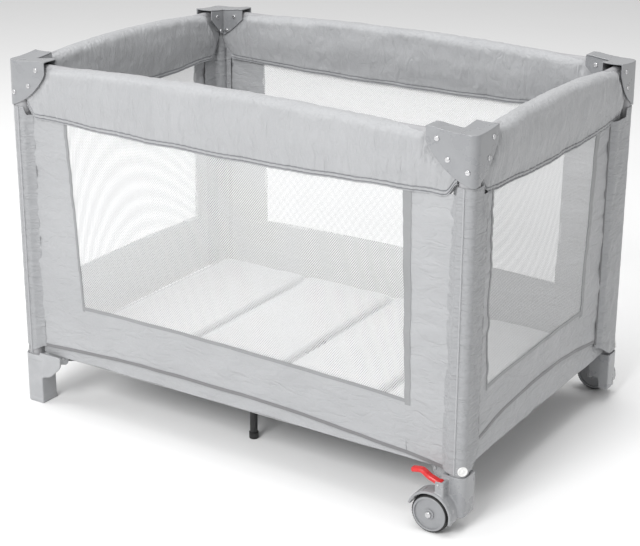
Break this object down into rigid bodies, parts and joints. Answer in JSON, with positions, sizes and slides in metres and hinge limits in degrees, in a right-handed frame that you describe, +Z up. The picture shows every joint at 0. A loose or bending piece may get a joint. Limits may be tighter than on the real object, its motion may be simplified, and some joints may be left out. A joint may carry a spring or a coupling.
{
  "type": "travel play yard",
  "caption": "Folding travel play yard with mesh sides, padded top rails, moulded corner casings, a folding floor frame, a folding mattress, feet at one end and braked wheels at the other.",
  "frame": {"origin": "middle of the yard on the floor, at the centre of the bounding box's bottom face", "axes": "+X along the long side towards the end with the wheels, +Y across towards the rear long side, +Z up"},
  "size_m": [1.078, 0.786, 0.766],
  "materials": {
    "casing_plastic": "semi-gloss moulded",
    "bright_steel": "bright plated, with white snaps at the rolling end",
    "grey_painted_steel": "satin paint",
    "black_plastic": "moulded, fine grain",
    "button_plastic": "moulded",
    "black_painted_steel": "black powder coat",
    "light_grey_plastic": "semi-gloss moulded",
    "wheel_plastic": "semi-gloss moulded",
    "tyre_rubber": "soft rubber",
    "red_plastic": "gloss moulded",
    "body_fabric": "satin polyester with knitted mesh windows",
    "floor_fabric": "plain polyester",
    "mattress_fabric": "quilted polyester",
    "webbing": "woven webbing"
  },
  "bodies": {
    "post_front_left": {"post_front_left": "grey_painted_steel", "corner_outer_front_left": "casing_plastic", "corner_inner_front_left": "casing_plastic", "corner_fasteners_front_left": "bright_steel", "foot_front_left": "light_grey_plastic"},
    "post_front_right": {"post_front_right": "grey_painted_steel", "corner_outer_front_right": "casing_plastic", "corner_inner_front_right": "casing_plastic", "corner_fasteners_front_right": "bright_steel", "caster_housing_front_right": "light_grey_plastic"},
    "post_rear_left": {"post_rear_left": "grey_painted_steel", "corner_outer_rear_left": "casing_plastic", "corner_inner_rear_left": "casing_plastic", "corner_fasteners_rear_left": "bright_steel", "foot_rear_left": "light_grey_plastic", "side_front": "body_fabric", "side_rear": "body_fabric", "side_left": "body_fabric", "side_right": "body_fabric", "floor_sheet": "floor_fabric"},
    "post_rear_right": {"post_rear_right": "grey_painted_steel", "corner_outer_rear_right": "casing_plastic", "corner_inner_rear_right": "casing_plastic", "corner_fasteners_rear_right": "bright_steel", "caster_housing_rear_right": "light_grey_plastic"},
    "strut_front_left": {"strut_front_left": "black_painted_steel"},
    "strut_front_right": {"strut_front_right": "black_painted_steel"},
    "strut_rear_left": {"strut_rear_left": "black_painted_steel"},
    "strut_rear_right": {"strut_rear_right": "black_painted_steel"},
    "hub": {"hub": "black_plastic", "hub_pins": "bright_steel", "lift_strap": "webbing"},
    "centre_leg_rear": {"centre_leg_rear": "black_painted_steel"},
    "centre_leg_front": {"centre_leg_front": "black_painted_steel"},
    "rail_rear_left": {"rail_rear_left": "grey_painted_steel"},
    "latch_rear": {"rail_latch_rear": "black_plastic"},
    "rail_rear_right": {"rail_rear_right": "grey_painted_steel"},
    "button_rear": {"latch_button_rear": "button_plastic"},
    "rail_left_rear": {"rail_left_rear": "grey_painted_steel"},
    "latch_left": {"rail_latch_left": "black_plastic"},
    "rail_left_front": {"rail_left_front": "grey_painted_steel"},
    "button_left": {"latch_button_left": "button_plastic"},
    "rail_front_left": {"rail_front_left": "grey_painted_steel"},
    "latch_front": {"rail_latch_front": "black_plastic"},
    "rail_front_right": {"rail_front_right": "grey_painted_steel"},
    "button_front": {"latch_button_front": "button_plastic"},
    "rail_right_front": {"rail_right_front": "grey_painted_steel"},
    "latch_right": {"rail_latch_right": "black_plastic"},
    "rail_right_rear": {"rail_right_rear": "grey_painted_steel"},
    "button_right": {"latch_button_right": "button_plastic"},
    "mattress_panel_1": {"mattress_panel_1": "mattress_fabric"},
    "mattress_panel_2": {"mattress_panel_2": "mattress_fabric"},
    "mattress_panel_3": {"mattress_panel_3": "mattress_fabric"},
    "mattress_panel_4": {"mattress_panel_4": "mattress_fabric"},
    "wheel_front_right": {"wheel_rim_front_right": "wheel_plastic", "wheel_tyre_front_right": "tyre_rubber"},
    "brake_lever_front_right": {"brake_lever_front_right": "red_plastic"},
    "wheel_rear_right": {"wheel_rim_rear_right": "wheel_plastic", "wheel_tyre_rear_right": "tyre_rubber"},
    "brake_lever_rear_right": {"brake_lever_rear_right": "red_plastic"}
  },
  "joints": [
    {"name": "frame_fold", "type": "hinge", "parent": "post_rear_left", "child": "strut_rear_left", "pos_m": [-0.466, 0.314, 0.1], "axis": [-0.5176, -0.8556, 0], "range_deg": [0, 88], "deforming": ["side_front", "side_rear", "side_left", "side_right", "floor_sheet", "mattress_panel_1", "mattress_panel_2", "mattress_panel_3", "mattress_panel_4"]},
    {"name": "hub_level", "type": "hinge", "parent": "strut_rear_left", "child": "hub", "pos_m": [-0.056, 0.066, 0.1], "axis": [0.5176, 0.8556, 0], "range_deg": [0, 88]},
    {"name": "strut_front_left_turn", "type": "hinge", "parent": "hub", "child": "strut_front_left", "pos_m": [-0.056, -0.066, 0.1], "axis": [0.5176, -0.8556, 0], "range_deg": [0, 88]},
    {"name": "post_front_left_level", "type": "hinge", "parent": "strut_front_left", "child": "post_front_left", "pos_m": [-0.466, -0.314, 0.1], "axis": [-0.5176, 0.8556, 0], "range_deg": [0, 88]},
    {"name": "strut_front_right_turn", "type": "hinge", "parent": "hub", "child": "strut_front_right", "pos_m": [0.056, -0.066, 0.1], "axis": [0.5176, 0.8556, 0], "range_deg": [0, 88]},
    {"name": "post_front_right_level", "type": "hinge", "parent": "strut_front_right", "child": "post_front_right", "pos_m": [0.466, -0.314, 0.1], "axis": [-0.5176, -0.8556, 0], "range_deg": [0, 88]},
    {"name": "strut_rear_right_turn", "type": "hinge", "parent": "hub", "child": "strut_rear_right", "pos_m": [0.056, 0.066, 0.1], "axis": [-0.5176, 0.8556, 0], "range_deg": [0, 88]},
    {"name": "post_rear_right_level", "type": "hinge", "parent": "strut_rear_right", "child": "post_rear_right", "pos_m": [0.466, 0.314, 0.1], "axis": [0.5176, -0.8556, 0], "range_deg": [0, 88]},
    {"name": "centre_leg_rear_turn", "type": "hinge", "parent": "hub", "child": "centre_leg_rear", "pos_m": [0.012, 0.046, 0.1], "axis": [-1, 0, 0], "range_deg": [0, 88]},
    {"name": "centre_leg_front_turn", "type": "hinge", "parent": "hub", "child": "centre_leg_front", "pos_m": [-0.012, -0.046, 0.1], "axis": [1, 0, 0], "range_deg": [0, 88]},
    {"name": "rail_rear_left_drop", "type": "hinge", "parent": "post_rear_left", "child": "rail_rear_left", "pos_m": [-0.46, 0.341, 0.745], "axis": [0, 1, 0], "range_deg": [0, 88]},
    {"name": "latch_rear_level", "type": "hinge", "parent": "rail_rear_left", "child": "latch_rear", "pos_m": [-0.05, 0.341, 0.745], "axis": [0, -1, 0], "range_deg": [0, 88]},
    {"name": "rail_rear_right_drop", "type": "hinge", "parent": "latch_rear", "child": "rail_rear_right", "pos_m": [0.05, 0.341, 0.745], "axis": [0, -1, 0], "range_deg": [0, 88]},
    {"name": "latch_button_rear_press", "type": "slide", "parent": "latch_rear", "child": "button_rear", "axis": [0, 0, 1], "range_m": [0, 0.004], "stiffness_N_per_m": 300, "springref_m": -0.003},
    {"name": "rail_left_rear_drop", "type": "hinge", "parent": "post_rear_left", "child": "rail_left_rear", "pos_m": [-0.516, 0.298, 0.745], "axis": [1, 0, 0], "range_deg": [0, 88]},
    {"name": "latch_left_level", "type": "hinge", "parent": "rail_left_rear", "child": "latch_left", "pos_m": [-0.516, 0.05, 0.745], "axis": [-1, 0, 0], "range_deg": [0, 88]},
    {"name": "rail_left_front_drop", "type": "hinge", "parent": "latch_left", "child": "rail_left_front", "pos_m": [-0.516, -0.05, 0.745], "axis": [-1, 0, 0], "range_deg": [0, 88]},
    {"name": "latch_button_left_press", "type": "slide", "parent": "latch_left", "child": "button_left", "axis": [0, 0, 1], "range_m": [0, 0.004], "stiffness_N_per_m": 300, "springref_m": -0.003},
    {"name": "rail_front_left_drop", "type": "hinge", "parent": "post_front_left", "child": "rail_front_left", "pos_m": [-0.46, -0.341, 0.745], "axis": [0, 1, 0], "range_deg": [0, 88]},
    {"name": "latch_front_level", "type": "hinge", "parent": "rail_front_left", "child": "latch_front", "pos_m": [-0.05, -0.341, 0.745], "axis": [0, -1, 0], "range_deg": [0, 88]},
    {"name": "rail_front_right_drop", "type": "hinge", "parent": "latch_front", "child": "rail_front_right", "pos_m": [0.05, -0.341, 0.745], "axis": [0, -1, 0], "range_deg": [0, 88]},
    {"name": "latch_button_front_press", "type": "slide", "parent": "latch_front", "child": "button_front", "axis": [0, 0, 1], "range_m": [0, 0.004], "stiffness_N_per_m": 300, "springref_m": -0.003},
    {"name": "rail_right_front_drop", "type": "hinge", "parent": "post_front_right", "child": "rail_right_front", "pos_m": [0.516, -0.298, 0.745], "axis": [-1, 0, 0], "range_deg": [0, 88]},
    {"name": "latch_right_level", "type": "hinge", "parent": "rail_right_front", "child": "latch_right", "pos_m": [0.516, -0.05, 0.745], "axis": [1, 0, 0], "range_deg": [0, 88]},
    {"name": "rail_right_rear_drop", "type": "hinge", "parent": "latch_right", "child": "rail_right_rear", "pos_m": [0.516, 0.05, 0.745], "axis": [1, 0, 0], "range_deg": [0, 88]},
    {"name": "latch_button_right_press", "type": "slide", "parent": "latch_right", "child": "button_right", "axis": [0, 0, 1], "range_m": [0, 0.004], "stiffness_N_per_m": 300, "springref_m": -0.003},
    {"name": "mattress_lift", "type": "slide", "parent": "post_rear_left", "child": "mattress_panel_1", "axis": [0, 0, 1], "range_m": [0, 0.7]},
    {"name": "mattress_fold_1", "type": "hinge", "parent": "mattress_panel_1", "child": "mattress_panel_2", "pos_m": [-0.245, 0, 0.1425], "axis": [0, -1, 0], "range_deg": [0, 180.5]},
    {"name": "mattress_fold_2", "type": "hinge", "parent": "mattress_panel_2", "child": "mattress_panel_3", "pos_m": [0, 0, 0.1175], "axis": [0, 1, 0], "range_deg": [0, 180.5]},
    {"name": "mattress_fold_3", "type": "hinge", "parent": "mattress_panel_3", "child": "mattress_panel_4", "pos_m": [0.245, 0, 0.1425], "axis": [0, -1, 0], "range_deg": [0, 180.5]},
    {"name": "wheel_front_right_spin", "type": "hinge", "parent": "post_front_right", "child": "wheel_front_right", "pos_m": [0.481, -0.377, 0.038], "axis": [0, 1, 0], "continuous": true},
    {"name": "brake_front_right_press", "type": "hinge", "parent": "post_front_right", "child": "brake_lever_front_right", "pos_m": [0.495, -0.373, 0.1], "axis": [0, -1, 0], "range_deg": [0, 22]},
    {"name": "wheel_rear_right_spin", "type": "hinge", "parent": "post_rear_right", "child": "wheel_rear_right", "pos_m": [0.481, 0.377, 0.038], "axis": [0, 1, 0], "continuous": true},
    {"name": "brake_rear_right_press", "type": "hinge", "parent": "post_rear_right", "child": "brake_lever_rear_right", "pos_m": [0.495, 0.373, 0.1], "axis": [0, -1, 0], "range_deg": [0, 22]}
  ],
  "couplings": [
    {"joint": "hub_level", "follows": "frame_fold", "ratio": 1},
    {"joint": "strut_front_left_turn", "follows": "frame_fold", "ratio": 1},
    {"joint": "post_front_left_level", "follows": "frame_fold", "ratio": 1},
    {"joint": "strut_front_right_turn", "follows": "frame_fold", "ratio": 1},
    {"joint": "post_front_right_level", "follows": "frame_fold", "ratio": 1},
    {"joint": "strut_rear_right_turn", "follows": "frame_fold", "ratio": 1},
    {"joint": "post_rear_right_level", "follows": "frame_fold", "ratio": 1},
    {"joint": "centre_leg_rear_turn", "follows": "frame_fold", "ratio": 1},
    {"joint": "centre_leg_front_turn", "follows": "frame_fold", "ratio": 1},
    {"joint": "rail_rear_left_drop", "follows": "frame_fold", "ratio": 1},
    {"joint": "latch_rear_level", "follows": "frame_fold", "ratio": 1},
    {"joint": "rail_rear_right_drop", "follows": "frame_fold", "ratio": 1},
    {"joint": "rail_left_rear_drop", "follows": "frame_fold", "ratio": 1},
    {"joint": "latch_left_level", "follows": "frame_fold", "ratio": 1},
    {"joint": "rail_left_front_drop", "follows": "frame_fold", "ratio": 1},
    {"joint": "rail_front_left_drop", "follows": "frame_fold", "ratio": 1},
    {"joint": "latch_front_level", "follows": "frame_fold", "ratio": 1},
    {"joint": "rail_front_right_drop", "follows": "frame_fold", "ratio": 1},
    {"joint": "rail_right_front_drop", "follows": "frame_fold", "ratio": 1},
    {"joint": "latch_right_level", "follows": "frame_fold", "ratio": 1},
    {"joint": "rail_right_rear_drop", "follows": "frame_fold", "ratio": 1},
    {"joint": "mattress_lift", "follows": "frame_fold", "m_per_rad": 0.45},
    {"joint": "mattress_fold_1", "follows": "frame_fold", "ratio": 2.0455},
    {"joint": "mattress_fold_2", "follows": "frame_fold", "ratio": 2.0455},
    {"joint": "mattress_fold_3", "follows": "frame_fold", "ratio": 2.0455}
  ]
}
